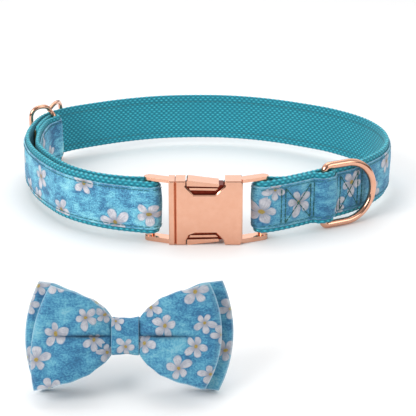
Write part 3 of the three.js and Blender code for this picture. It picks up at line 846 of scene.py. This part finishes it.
def seam(start, end, out, step=STITCH_STEP):
    """Evenly spaced stitches between two (run, across) places: centre, height and step arrays."""
    start, end = np.array(start, float), np.array(end, float)
    count = max(1, int(round(np.linalg.norm(end - start) / step)))
    share = (np.arange(count) + 0.5) / count
    centre = start + share[:, None] * (end - start)
    each = (end - start) / count * COVER
    return np.column_stack([centre, np.full(count, out), np.full(count, each[0]), np.full(count, each[1])])


ON_PRINT = HALF + STRIP_LIFT + STRIP_BODY - 0.10
ON_BARE = -HALF - 0.08
long_seams = [seam((2, height), (ROUTE_LENGTH - 2, height), out)
              for height in (SEAM_ACROSS, -SEAM_ACROSS) for out in (ON_PRINT, ON_BARE)]
seam_stitches = stitches("seam_stitches", SEAM_THREAD, SEAM_THREAD_THICK, *np.concatenate(long_seams).T)

BOX_REACH, BOX_STEP = 8.3, 2.4
box_seams = [seam((at, -BOX_REACH), (at, BOX_REACH), ON_PRINT + 0.12, BOX_STEP) for at in box_runs]
for low, high in ((box_runs[1], box_runs[2]), (box_runs[5], box_runs[6])):
    box_seams += [seam((low, -rise), (high, rise), ON_PRINT + 0.30, BOX_STEP) for rise in (BOX_REACH, -BOX_REACH)]
box_stitches = stitches("box_stitches", BOX_THREAD, BOX_THREAD_THICK, *np.concatenate(box_seams).T)
print("seams", sum(len(part) for part in long_seams), "and box rows", sum(len(part) for part in box_seams))

# %% [markdown]
# ## The buckle
#
# The two halves of the buckle are hard and already have the right shape. What they lack is
# the small rounding that makes cast and polished metal catch the light. A copy of each has
# its loose triangles merged and its flat faces joined, and a Bevel modifier then rounds
# every sharp edge. The release buttons get a cap and a ledge for the thumb, and dark walls
# of painted shade inside stop one from seeing through the gaps round them.

# %% Buckle pieces
BUCKLE_FRONT, BUCKLE_BACK, BUCKLE_HEIGHT = -80.5, -70.9, 30.8
BODY_ROUNDING, PRONG_ROUNDING = 0.36, 0.28
SHARP, FLAT = math.radians(32), math.radians(1.5)


def prism(shape, outline, front, back):
    """Adds a block to a shape: an outline in x and z, from one depth to another."""
    near, far = ([shape.verts.new((np.array([x, y, z]) + SHIFT) * MM) for x, z in outline] for y in (front, back))
    shape.faces.new(near)
    shape.faces.new(far[::-1])
    for index in range(len(outline)):
        shape.faces.new([near[index], near[index - 1], far[index - 1], far[index]])


def polished_copy(node, name, rounding, blocks=()):
    """A merged copy of a hard node, with further blocks, and its sharp edges rounded."""
    mesh = frame["nodes"][node].data.copy()
    mesh.name = name
    shape = bmesh.new()
    shape.from_mesh(mesh)
    bmesh.ops.remove_doubles(shape, verts=shape.verts, dist=2e-6)
    bmesh.ops.dissolve_limit(shape, angle_limit=FLAT, verts=shape.verts, edges=shape.edges)
    first_new = len(shape.faces)
    for outline, front, back in blocks:
        prism(shape, outline, front, back)
    shape.faces.ensure_lookup_table()
    bmesh.ops.recalc_face_normals(shape, faces=shape.faces[first_new:])
    for face in shape.faces:
        face.smooth = True
    for edge in shape.edges:
        edge.smooth = not (edge.is_manifold and edge.calc_face_angle(0) > SHARP)
    shape.to_mesh(mesh)
    shape.free()
    piece = place_mesh(mesh)
    bevel = piece.modifiers.new("rounded_edges", "BEVEL")
    bevel.width = rounding * MM
    bevel.segments = 3
    bevel.limit_method = "ANGLE"
    bevel.angle_limit = SHARP
    bevel.harden_normals = True
    dress(piece, ROSE_GOLD)
    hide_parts(node)
    return piece


buckle_body = polished_copy("buckle_female", "buckle_body", BODY_ROUNDING)


def mirrored(outline):
    """The same outline at the buckle's lower edge."""
    return [(x, BUCKLE_HEIGHT - z) for x, z in outline[::-1]]


BUTTON_CAP = [(-9.6, 28.3), (4.6, 27.9), (5.1, 28.6), (4.9, 29.2), (-9.2, 31.0), (-9.7, 30.4)]
BUTTON_LEDGE = [(-8.2, 26.3), (3.4, 26.1), (4.4, 26.9), (4.2, 27.2), (-8.6, 27.4)]
CAP_INSET, LEDGE_INSET, RECESS_INSET, WALL_INSET = 0.7, 1.0, 1.5, 0.55
buckle_prongs = polished_copy("buckle_male", "buckle_prongs", PRONG_ROUNDING, [
    (outline, BUCKLE_FRONT + inset, BUCKLE_BACK - inset)
    for shown, inset in ((BUTTON_CAP, CAP_INSET), (BUTTON_LEDGE, LEDGE_INSET))
    for outline in (shown, mirrored(shown))])

# Dark walls of painted shade, in the recesses under the buttons and in the seam between plate and body.
RECESS = [(-9.4, 24.7), (-7.2, 23.9), (3.6, 23.9), (6.6, 26.6), (6.9, 28.6), (-9.9, 28.8)]
SEAM_WALL = [(-15.2, 0.7), (-14.5, 0.7), (-14.5, 30.1), (-15.2, 30.1)]
recess_shape = bmesh.new()
for outline, inset in ((RECESS, RECESS_INSET), (mirrored(RECESS), RECESS_INSET), (SEAM_WALL, WALL_INSET)):
    prism(recess_shape, outline, BUCKLE_FRONT + inset, BUCKLE_BACK - inset)
bmesh.ops.recalc_face_normals(recess_shape, faces=recess_shape.faces)
recess_mesh = bpy.data.meshes.new("buckle_recess")
recess_shape.to_mesh(recess_mesh)
recess_shape.free()
dress(place_mesh(recess_mesh), PAINTED_RECESS_SHADE)

# %% [markdown]
# ## Bent wire
#
# The leash ring and the slide are bent from wire. A tube is a circle carried along a path:
# at each point the circle's two axes are square to the path, one of them in line with a
# fixed direction that the path never follows. A closed path needs no ends, and an open one
# gets a dome at each. The faces are turned outwards once the tubes are joined.

# %% Tube helper
DOME_ROWS = 7


def tube(path, radius, steady, sides=14, closed=False):
    """Points of a tube: path + radius times (cosine x first axis + sine x second axis)."""
    if closed:
        ahead = np.roll(path, -1, axis=0) - np.roll(path, 1, axis=0)
        reach = np.ones(len(path))
    else:
        ahead = np.gradient(path, axis=0)
        rise = np.linspace(0, 1, DOME_ROWS)[:, None]
        dome = np.sqrt(np.clip(1 - (1 - rise[:, 0]) ** 2, 0.0004, 1))
        start = path[:1] - ahead[:1] / np.linalg.norm(ahead[0]) * radius * (1 - rise)
        finish = path[-1:] + ahead[-1:] / np.linalg.norm(ahead[-1]) * radius * rise
        reach = np.concatenate([dome, np.ones(len(path) - 2), dome[::-1]])
        path = np.concatenate([start, path[1:-1], finish])
        first_ahead, last_ahead = (np.repeat(row[None], DOME_ROWS, axis=0) for row in (ahead[0], ahead[-1]))
        ahead = np.concatenate([first_ahead, ahead[1:-1], last_ahead])
    ahead /= np.linalg.norm(ahead, axis=1)[:, None]
    first = np.cross(ahead, steady)
    first /= np.linalg.norm(first, axis=1)[:, None]
    second = np.cross(ahead, first)
    turn = np.linspace(0, 2 * np.pi, sides, endpoint=False)[:, None]
    ring = first[:, None] * np.cos(turn) + second[:, None] * np.sin(turn)
    return path[:, None] + radius * reach[:, None, None] * ring


def tube_faces(points, closed):
    """Quads of a tube, and its two end caps if it is open."""
    rows, columns = points.shape[:2]
    if closed:
        return grid_faces(rows + 1, columns) % (rows * columns), []
    return grid_faces(rows, columns), band_ends(rows, columns)


def wire_piece(name, node, tubes, body):
    """Joins tubes, given as (points in mm, closed), into one polished piece that replaces a node."""
    points, faces, ends, base = [], [], [], 0
    for shape, closed in tubes:
        quads, caps = tube_faces(shape, closed)
        points.append(shape.reshape(-1, 3))
        faces.append(quads + base)
        ends += [[index + base for index in cap] for cap in caps]
        base += len(points[-1])
    piece = make_piece(name, np.concatenate(points) * MM, np.concatenate(faces), ends)
    dress(piece, ROSE_GOLD, body)
    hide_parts(node)
    outward = bmesh.new()
    outward.from_mesh(piece.data)
    bmesh.ops.recalc_face_normals(outward, faces=outward.faces)
    outward.to_mesh(piece.data)
    outward.free()
    return piece


print("tube helper ready")

# %% [markdown]
# ## The leash ring
#
# The ring is a letter D: a straight bar that lies in the strap's tunnel, two short arms and
# a half circle. The bar is the hinge, so the piece rides on the ring's own body.

# %% Leash ring piece
RING_HEIGHT, RING_DEPTH, RING_CORNER = 32.8, 31.0, 2.6
RING_LIE = math.radians(27.21)      # which way the ring lies from its bar, as in the frame
RING_PIVOT = np.array(frame["joints"][0]["pos_m"][:2]) / MM


def ring_path():
    """The D in its own plane: bar, corner, arm, half circle, arm, corner, as distances out and up."""
    low, high = RING_WIRE / 2, RING_HEIGHT - RING_WIRE / 2
    half = (high - low) / 2
    arm_end = RING_DEPTH - RING_WIRE - half
    quarter = np.linspace(0, np.pi / 2, 9)[1:-1]
    big = np.linspace(-np.pi / 2, np.pi / 2, 36)
    low_corner = np.array([0, low]) + RING_CORNER * (1 - np.stack([np.cos(quarter), np.sin(quarter)], axis=1))
    high_corner = np.stack([low_corner[:, 0], low + high - low_corner[:, 1]], axis=1)[::-1]
    bar = np.stack([np.zeros(9), np.linspace(high - RING_CORNER, low + RING_CORNER, 9)], axis=1)
    arm = np.linspace(RING_CORNER, arm_end, 6)[:-1]
    lower = np.stack([arm, np.full(5, low)], axis=1)
    upper = np.stack([arm[::-1], np.full(5, high)], axis=1)
    circle = np.stack([arm_end + half * np.cos(big), low + half + half * np.sin(big)], axis=1)
    return np.concatenate([bar, low_corner, lower, circle, upper, high_corner])


flat_path = ring_path()
direction = np.array([math.cos(RING_LIE), math.sin(RING_LIE)])
ring_points = np.column_stack([RING_PIVOT + flat_path[:, :1] * direction, flat_path[:, 1]])
ring_normal = np.array([-direction[1], direction[0], 0.0])
ring_tube = tube(ring_points, RING_WIRE / 2, ring_normal, 20, True)
wire_piece("leash_ring", "d_ring", [(ring_tube, True)], "d_ring")

# %% [markdown]
# ## The slide
#
# The slide sets the collar's length. It is a window of thin wire with a middle bar inside
# the strap and two end bars outside it. Each half is a rail that starts at the middle bar,
# rises in a hump over the strap's edge, runs down outside it and comes back under. The top of
# the middle bar leans outwards, so that the two humps meet in a notch above the strap.

# %% Slide piece
SLIDE_HEIGHT = 32.8
BAR_LOW, BAR_HIGH, LEAN_FROM = 2.4, 31.8, 28.6
# Which way along the strap, how far, and how high the hump is.
HALVES = ((1, 9.2, 1.3), (-1, 15.5, 0.6))
# Each place's share of the way to the end bar, inset from the strap's outer face, and height.
RAIL = np.array([(0.0, slide_inset, 30.4), (0.28, 5.4, 31.4), (0.55, 2.6, 31.6), (0.82, -0.8, 31.1),
                 (0.97, -2.7, 29.4), (1.0, -2.9, 26.0), (1.0, -2.9, 19.0)])
HUMP = np.array([0.0, 0.6, 1.4, 1.8, 1.2, 0.4, 0.0])
TOP_RISE = np.array([1.4, 1.6, 1.0, 0.3, 0.0, 0.0, 0.0])
TOP_LEAN = np.array([2.9, 1.9, 0.7, 0.0, 0.0, 0.0, 0.0])


def rail(way, length, lift):
    """A smooth path through the rail's places and their mirror images below, on one side of the bar."""
    lower = RAIL[::-1].copy()
    lower[:, 2] = SLIDE_HEIGHT - lower[:, 2]
    upper = RAIL.copy()
    upper[:, 2] += TOP_RISE + HUMP * lift
    upper[:, 1] -= TOP_LEAN
    places = np.concatenate([upper, lower])
    plan = np.concatenate([inside(SLIDE_AT + way * place[0] * length, place[1]) for place in places])
    stations = np.column_stack([plan, places[:, 2]])
    path, _ = through_points(stations, np.linspace(0, len(stations) - 1, 90))
    return calmed(spaced(path, 0.6), 2) + SHIFT


bar_heights = np.linspace(BAR_LOW, BAR_HIGH, 40)
outwards = inside(SLIDE_AT, slide_inset - 1)[0] - slide_bar
bar_lean = TOP_LEAN[0] * ease(np.array([(LEAN_FROM, 0.0), (BAR_HIGH, 1.0)]), bar_heights)
middle_bar = np.column_stack([slide_bar + bar_lean[:, None] * outwards, bar_heights]) + SHIFT
tubes = [(tube(middle_bar, SLIDE_WIRE / 2 * 1.04, np.array([-outwards[1], outwards[0], 0])), False)]
for way, length, lift in HALVES:
    path = rail(way, length, lift)
    tubes.append((tube(path, SLIDE_WIRE / 2, np.cross(path[len(path) // 2] - path[0], (0, 0, 1.0))), False))
slide = wire_piece("strap_slide", "slide", tubes, "collar")

# %% [markdown]
# ## The bow tie
#
# The tie is two bows of doubled cotton, one behind the other, gripped by a knot. Each bow is
# one loop of cloth pressed flat, whose ends are soft folds. Its height grows from the knot
# outwards, and a crease runs out from the knot along the middle of each wing, where the
# gathered cloth dips. The surface is a function of height and of distance round the loop.

# %% Bow shape
def thicken(piece, wall, rounding, sharp):
    """Gives a sheet its wall, in mm, and rounds the edges sharper than an angle."""
    solid = piece.modifiers.new("cloth", "SOLIDIFY")
    solid.thickness = wall * MM
    solid.offset = 0
    soften = piece.modifiers.new("soft_edges", "BEVEL")
    soften.width = rounding * MM
    soften.segments = 2
    soften.limit_method = "ANGLE"
    soften.angle_limit = math.radians(sharp)


# Distance from the knot's middle, then half the height, the lean, and half the opening of a
# panel that is hidden or shown.
OUTLINE = np.array([(0, 5.0), (4.9, 5.3), (6.4, 7.8), (9, 10.3), (13, 13.0), (20, 15.9), (27, 18.2), (38, 19.6)])
LEAN = np.array([(0, 1.7), (5.2, 1.7), (10, 2.8), (18, 3.5), (27, 3.2), (38, 2.9)])
HIDDEN_HALF = np.array([(0, 0.9), (5.2, 0.9), (10, 1.7), (18, 2.2), (27, 1.7), (38, 1.1)])
SHOWN_HALF = np.array([(0, 0.9), (5.1, 1.0), (6.8, 3.0), (9.5, 4.8), (14, 5.4), (20, 5.0), (27, 3.6), (38, 1.6)])
# Each bow's left and right wings: how far they reach at the top, the middle and the bottom.
WINGS = {"bow_front": ((25.5, 31.6, 31.0), (28.9, 33.0, 27.3)),
         "bow_back": ((30.7, 35.3, 31.0), (33.4, 37.2, 32.1))}
CLOTH, ROOT_HALF = 1.2, 0.9
# Painted shade laid evenly over the bow and the knot.
BOW_PAINTED_SHADE = 0.95
LEAN_BACK = math.radians(24)
knot_low, knot_high = (np.array(corner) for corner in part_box("bow_knot"))
TIE_LIFT = 1.3 * MM      # keeps the rounded corners just off the floor
TIE_AT = (knot_low + knot_high) / 2 + np.array([0, 0, TIE_LIFT])


def place_tie(points):
    """Millimetres in the upright tie to metres in the frame: leaned back, then moved."""
    x, y, z = points[..., 0], points[..., 1], points[..., 2]
    cosine, sine = math.cos(LEAN_BACK), math.sin(LEAN_BACK)
    return np.stack([x, y * cosine + z * sine, z * cosine - y * sine], axis=-1) * MM + TIE_AT


def reach_at(wing, height):
    """A wing's reach at a height: a bend through its lower corner, middle and upper corner."""
    top, middle, bottom = wing
    return middle + (top - bottom) / 2 * height + ((top + bottom) / 2 - middle) * height ** 2


def folds(out, height, seed):
    """The cloth's dips: a deep crease at mid height, shallow ones above and below, all fading."""
    fade = 1 - smooth((out - 11) / 20)
    slit = 0.85 / ease(OUTLINE, out)
    crease = (0.30 * np.exp(-(height / 0.20) ** 2) + 0.85 * np.exp(-(height / slit) ** 2)) * fade
    upper = 0.26 * np.exp(-((height - 0.52) / 0.13) ** 2) * (1 - smooth((out - 7) / 11))
    lower = 0.26 * np.exp(-((height + 0.48) / 0.13) ** 2) * (1 - smooth((out - 7) / 12))
    return crease + upper + lower + 0.04 * np.sin(out * 0.45 + seed + 3 * height)


def looped(front, back):
    """A grid round a loop of cloth: along the front, then back along the rear, to where it began."""
    return np.concatenate([front, back[:, -2:0:-1], back[:, :1]], axis=1)


NEAR_KNOT = np.array([2.5, 5.0, 5.8, 6.8, 8.2, 10.0])
OUTWARDS = np.sin(np.linspace(0, np.pi / 2, 31))[1:]
spread = np.linspace(-1, 1, 69)
HEIGHTS = (np.sign(spread) * np.abs(spread) ** 1.5)[:, None]


def wing_stations(wing):
    """Distances from the knot's middle at every height, close together near the knot and the fold."""
    reach = reach_at(wing, HEIGHTS)
    near = np.broadcast_to(NEAR_KNOT, (len(HEIGHTS), len(NEAR_KNOT)))
    return np.concatenate([near, NEAR_KNOT[-1] + (reach - NEAR_KNOT[-1]) * OUTWARDS], axis=1), reach


def bow(name, node, side, flowers):
    """One loop of cloth: y = lean, plus or minus half the opening less the folds.

    A root curve closes the opening at each end.
    """
    (left_out, left_reach), (right_out, right_reach) = (wing_stations(wing) for wing in WINGS[node])
    x = np.concatenate([-left_out[:, ::-1], np.zeros_like(HEIGHTS), right_out], axis=1)
    reach = np.where(x < 0, left_reach, right_reach)
    out = np.abs(x)
    from_fold = np.clip(reach - out, 0, None)
    half_height = ease(OUTLINE, out)

    def panel(face):
        half = ease(SHOWN_HALF if face * side > 0 else HIDDEN_HALF, out)
        closing = np.minimum(1, 0.02 + 0.75 * np.sqrt(from_fold))
        swell = (1 - 0.45 * HEIGHTS ** 4) * (1 - folds(out, HEIGHTS, face + 2 * side))
        open_by = ROOT_HALF + (half - ROOT_HALF) * swell
        y = side * (ease(LEAN, out) + 1.3 * smooth((out - 14) / 16)) + face * open_by * closing
        sag = 0.35 * np.sin(out * 0.23 + 1.2 * side) * smooth((out - 8) / 8)
        return np.stack([x, y, HEIGHTS * (half_height + sag)], axis=-1)

    shape = looped(panel(-1), panel(1))[:, :-1]
    piece = make_piece(name, place_tie(shape), grid_faces(*shape.shape[:2]))
    up = HEIGHTS * half_height
    behind_fold = np.sign(x + 1e-9) * (2 * reach - out)
    cloth = looped(np.stack([x, up], axis=-1), np.stack([behind_fold, up], axis=-1)) * MM
    # How near each point is to a folded edge; the material paints a pale line there as a painted highlight.
    edge = np.maximum(np.abs(HEIGHTS), 1 - from_fold / 16)
    # Painted shade: deeper along the crease near the knot, on top of the even painted shade.
    crease = np.exp(-(up / 0.8) ** 2) * (1 - smooth((out - 10) / 22))
    rim = np.stack([edge, BOW_PAINTED_SHADE + 0.9 * crease], axis=-1)
    tell_faces(piece, corner_values(cloth), flowers, corner_values(looped(rim, rim)))
    thicken(piece, CLOTH, 0.42, 60)
    dress(piece, PRINTED_COTTON)
    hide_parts(node)
    return piece


def blossoms(*places):
    """Blossoms given as (x, z, diameter), each with a seeded turn."""
    table = np.array(places, float)
    return np.column_stack([table[:, :2], table[:, 2] / 2, chance.uniform(0, ANY_TURN, len(table))])


def behind(reach):
    """Blossoms for a bow's rear panels, whose cloth coordinates lie beyond the folds."""
    at = np.array([(side * (reach + away), height) for side in (-1, 1) for away, height in
                   ((5, 9), (7, -8), (15, 2), (22, 9), (24, -7), (14, 13), (15, -13))], float)
    at += chance.uniform(-1.5, 1.5, at.shape)
    return np.column_stack([at, chance.uniform(4.2, 5.4, len(at)), chance.uniform(0, ANY_TURN, len(at))])


front_flowers = np.concatenate([blossoms(
    (-23.6, 1.2, 9.8), (-13.4, 6.4, 8.4), (-30.0, -7.8, 10.2), (-10.6, -1.6, 7.6), (-7.4, 7.4, 7),
    (-23.9, 18.4, 8.5), (-6.5, -5.4, 7.4), (-25.6, -18.0, 8.6), (24.5, 15.6, 11), (14.1, 3.9, 9.2),
    (27.7, 4.8, 8.2), (33.2, 0.6, 8), (24.5, -3.4, 8.8), (18.8, -10.6, 9.4), (9.3, 9.8, 8),
    (7.2, -2.2, 8), (29.2, -12.9, 8)), behind(33)])
back_flowers = np.concatenate([blossoms(
    (-34.9, -7.4, 9), (-34.2, 10.9, 9), (-30.9, 17.2, 8.5), (36.3, 9.4, 9), (34.9, -5.2, 9),
    (20, 8, 9), (-20, 8, 9), (-20, -8, 9), (20, -8, 9)), behind(37)])
bow_front = bow("bow_front_cloth", "bow_front", -1, front_flowers)
bow_back = bow("bow_back_cloth", "bow_back", 1, back_flowers)

# %% [markdown]
# ## The knot and its elastic
#
# The knot is a short band of the print wound round the middle of both bows, its edges turned
# under. Behind it sits a plain loop of flat elastic, through which the strap is passed.
# Both are a rounded frame carried across the tie. The knot is drawn in at its middle, so that
# its edges flare a little, as the edges of a tight band do.

# %% Knot and loop pieces
LOOP_STEP = 0.5


def frame_path(depth, height, corner):
    """A rounded rectangle in depth and height, from the upper end of its rear face."""
    turn = np.linspace(0, np.pi / 2, 10)
    arcs = []
    for index, signs in enumerate(((1, 1), (-1, 1), (-1, -1), (1, -1))):
        angle = turn + index * np.pi / 2
        middle = np.array(signs) * (depth / 2 - corner, height / 2 - corner)
        arcs.append(middle + corner * np.stack([np.cos(angle), np.sin(angle)], axis=1))
    return spaced(np.concatenate(arcs + [arcs[0][:1]]), LOOP_STEP)[:-1]


def band(name, node, size, centre, material, crown, flowers=None):
    """A frame swept across the tie: pushed out by the crown at its middle, drawn in at its edges."""
    width, height, depth, corner = size
    loop = frame_path(depth - CLOTH, height - CLOTH, corner)
    across = np.linspace(-1, 1, 23)
    outward = loop / (depth / 2, height / 2)
    outward /= np.linalg.norm(outward, axis=1)[:, None]
    swell = crown * (1 - across ** 2) - 0.12 * np.abs(across) ** 12
    ripple = 0.14 * crown * np.sin(6 * across + 0.9 * loop[:, 1:2])
    moved = loop[:, None] + outward[:, None] * (swell + ripple)[..., None] + centre
    x = np.broadcast_to(across * (width / 2 - 0.05), moved.shape[:2])
    shape = np.concatenate([x[..., None], moved], axis=-1).transpose(1, 0, 2)
    piece = make_piece(name, place_tie(shape), grid_faces(*shape.shape[:2])[:, ::-1])
    length = np.arange(len(loop) + 1) * LOOP_STEP
    front = length[np.argmin(loop[:, 0] + 0.01 * np.abs(loop[:, 1]))]
    cloth = corner_values(pairs((across * width / 2)[:, None], front - length) * MM)[:, ::-1]
    if flowers is None:
        set_uv(piece, "cloth", cloth)
    else:
        # The knot gets the same even painted shade as the bow.
        rim = pairs(np.abs(across)[:, None], np.full(len(length), BOW_PAINTED_SHADE))
        tell_faces(piece, cloth, flowers, corner_values(rim)[:, ::-1])
    thicken(piece, CLOTH, 0.4, 50)
    dress(piece, material)
    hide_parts(node)
    return piece


KNOT_SIZE = (9.8, 13.7, 9.2, 2.6)         # width, height, depth and corner
ELASTIC_SIZE = (7.0, 10.0, 8.4, 2.4)
ELASTIC_AT = (9.1, -1.6)                  # behind the knot, and a little below its middle
knot_flowers = blossoms((0.2, -3.9, 8), (-3.5, 5.2, 7), (3, 14, 8), (-3, -14, 8), (2, 22, 8), (-1, -22, 8))
knot = band("bow_knot_cloth", "bow_knot", KNOT_SIZE, (0, 0), PRINTED_COTTON, -0.55, knot_flowers)
loop = band("bow_loop_elastic", "bow_loop", ELASTIC_SIZE, ELASTIC_AT, ELASTIC, 0.0)

# %% [markdown]
# ## The cloth pieces

print("cloth pieces made")

# %% [markdown]
# ## Floor and light
#
# The object stands on a plain pale floor that runs back without a corner. Soft light comes
# from broad panels above and to both sides, and from a pale sky. Polished metal shows what
# surrounds it, so the sky is dark near the horizon and dimmer on the camera's side, which
# puts a deeper tone into the rounded edges, and it glows at the back.

# %% Stage
FLOOR_HALF = 6.0


def floor():
    """A plain sheet far larger than the view."""
    corners = FLOOR_HALF * np.array([(-1, -1, 0), (1, -1, 0), (1, 1, 0), (-1, 1, 0)], float)
    piece = make_piece("floor", corners, np.array([[0, 1, 2, 3]]))
    g = Graph("pale_floor")
    piece.data.materials.append(g.set(Base_Color=(0.93, 0.93, 0.93, 1), Roughness=0.9))


def panel_light(name, place, size, watts):
    """A square soft light at a place, turned to face the origin."""
    light = bpy.data.lights.new(name, "AREA")
    light.shape = "SQUARE"
    light.size = size
    light.energy = watts
    lamp = bpy.data.objects.new(name, light)
    lamp.location = place
    tip = math.acos(place[2] / np.linalg.norm(place))
    lamp.rotation_euler = (tip, 0, math.atan2(place[1], place[0]) + math.pi / 2)
    bpy.context.collection.objects.link(lamp)


SKY_STRENGTH, HORIZON_STRENGTH, BACK_GLOW = 0.62, 0.12, 0.7
floor()
panel_light("key_light", (-0.70, -0.70, 0.62), 0.6, 7.6)
panel_light("fill_light", (0.80, -0.55, 0.45), 0.6, 2.4)
panel_light("top_light", (0.0, 0.35, 1.0), 0.8, 3.0)

air = Graph("pale_sky", "worlds", "Background")
_, back, up = air.parts(air.node("ShaderNodeTexCoord").outputs["Generated"], 3)
horizon = air.step(up, 0.10, 0.42)
behind_camera = air.step(back, -0.20, -0.80, 1.0, 0.25)
back_glow = air.times(air.step(back, 0.35, 0.8), air.step(up, 0.04, 0.22))
upper_sky = air.times(air.times(horizon, behind_camera), SKY_STRENGTH)
strength = air.plus(air.plus(upper_sky, HORIZON_STRENGTH), air.times(back_glow, BACK_GLOW))
bpy.context.scene.world = air.set(Strength=strength, Color=(1, 1, 1, 1))
print("floor, three soft lights and a pale sky")

# %% Finish
bpy.context.view_layer.update()
